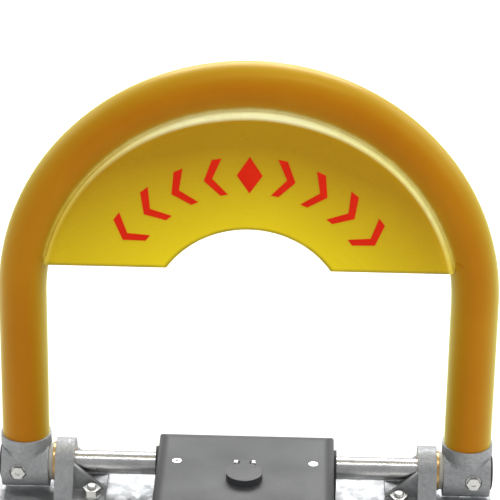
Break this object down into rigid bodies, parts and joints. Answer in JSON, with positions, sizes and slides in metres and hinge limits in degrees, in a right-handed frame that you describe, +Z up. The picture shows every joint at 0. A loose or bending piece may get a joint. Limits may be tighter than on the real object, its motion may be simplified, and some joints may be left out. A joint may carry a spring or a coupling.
{
  "type": "fold-down hoop parking barrier",
  "caption": "Fold-down parking barrier: bent tube hoop with a hollow half-moon sign panel, pivoting on a ground plate with a key-operated bolt housing.",
  "frame": {"origin": "on the ground under the middle of the ground plate's box, left to right and front to back", "axes": "+X right along the hoop's pivot line, +Y to the back, away from the side the hoop folds to, +Z up"},
  "size_m": [0.529, 0.368, 0.5],
  "materials": {
    "yellow_paint": "gloss orange-yellow powder coat on steel",
    "red_paint": "gloss red paint film",
    "housing_paint": "satin dark grey powder coat",
    "galvanised": "hot-dip galvanised steel, dull spangle",
    "cast_galvanised": "galvanised casting, matt",
    "zinc_fasteners": "bright zinc plate",
    "bare_steel": "oiled machined steel",
    "spring_steel": "dark oiled spring wire",
    "bronze": "plain bearing bronze",
    "brass": "worn brass",
    "rubber": "matt black rubber",
    "nylon": "natural nylon"
  },
  "bodies": {
    "base": {"base_plate": "galvanised", "bracket_left": "cast_galvanised", "bracket_right": "cast_galvanised", "bush_left": "bronze", "bush_right": "bronze", "bracket_studs": "zinc_fasteners", "bracket_nuts": "zinc_fasteners", "lock_housing": "housing_paint", "housing_gasket": "rubber", "housing_posts": "zinc_fasteners", "housing_screws": "zinc_fasteners", "shaft_seal_left": "rubber", "shaft_seal_right": "rubber", "lock_cylinder": "brass", "lock_nut": "zinc_fasteners", "bolt_guide": "bare_steel", "stop_blocks": "bare_steel", "spring_rests": "bare_steel", "torsion_spring_left": "spring_steel", "torsion_spring_right": "spring_steel", "down_buffers": "rubber", "cap_hinge": "zinc_fasteners", "cap_hinge_pin": "zinc_fasteners"},
    "hoop": {"hoop_tube": "yellow_paint", "front_sign_panel": "yellow_paint", "rear_sign_panel": "yellow_paint", "warning_marks_front": "red_paint", "warning_marks_rear": "red_paint", "foot_left": "cast_galvanised", "foot_right": "cast_galvanised", "leg_screws": "zinc_fasteners", "pivot_shaft": "bare_steel", "cross_bolts": "zinc_fasteners", "cross_nuts": "zinc_fasteners", "end_cap_left": "rubber", "end_cap_right": "rubber", "thrust_washers": "nylon", "lock_disc": "bare_steel", "disc_pin": "bare_steel", "stop_collar_left": "bare_steel", "stop_collar_right": "bare_steel", "collar_set_screws": "zinc_fasteners"},
    "key": {"lock_plug": "brass", "lock_cam": "bare_steel", "cam_screw": "zinc_fasteners"},
    "bolt": {"lock_bolt": "bare_steel"},
    "cap": {"keyhole_cap": "housing_paint"}
  },
  "joints": [
    {"name": "hoop_fold", "type": "hinge", "parent": "base", "child": "hoop", "pos_m": [0, 0.1275, 0.038], "axis": [1, 0, 0], "range_deg": [0, 90], "stiffness_Nm_per_rad": 4.5, "springref_deg": -51.57, "deforming": ["torsion_spring_left", "torsion_spring_right"]},
    {"name": "key_turn", "type": "hinge", "parent": "base", "child": "key", "pos_m": [0, 0.0425, 0.06], "axis": [0, 0, 1], "range_deg": [0, 90]},
    {"name": "bolt_throw", "type": "slide", "parent": "base", "child": "bolt", "axis": [0, 1, 0], "range_m": [0, 0.01]},
    {"name": "cap_swing", "type": "hinge", "parent": "base", "child": "cap", "pos_m": [0, 0.0665, 0.0748], "axis": [-1, 0, 0], "range_deg": [0, 110]}
  ],
  "couplings": [
    {"joint": "key_turn", "follows": "bolt_throw", "rad_per_m": 157.07}
  ]
}
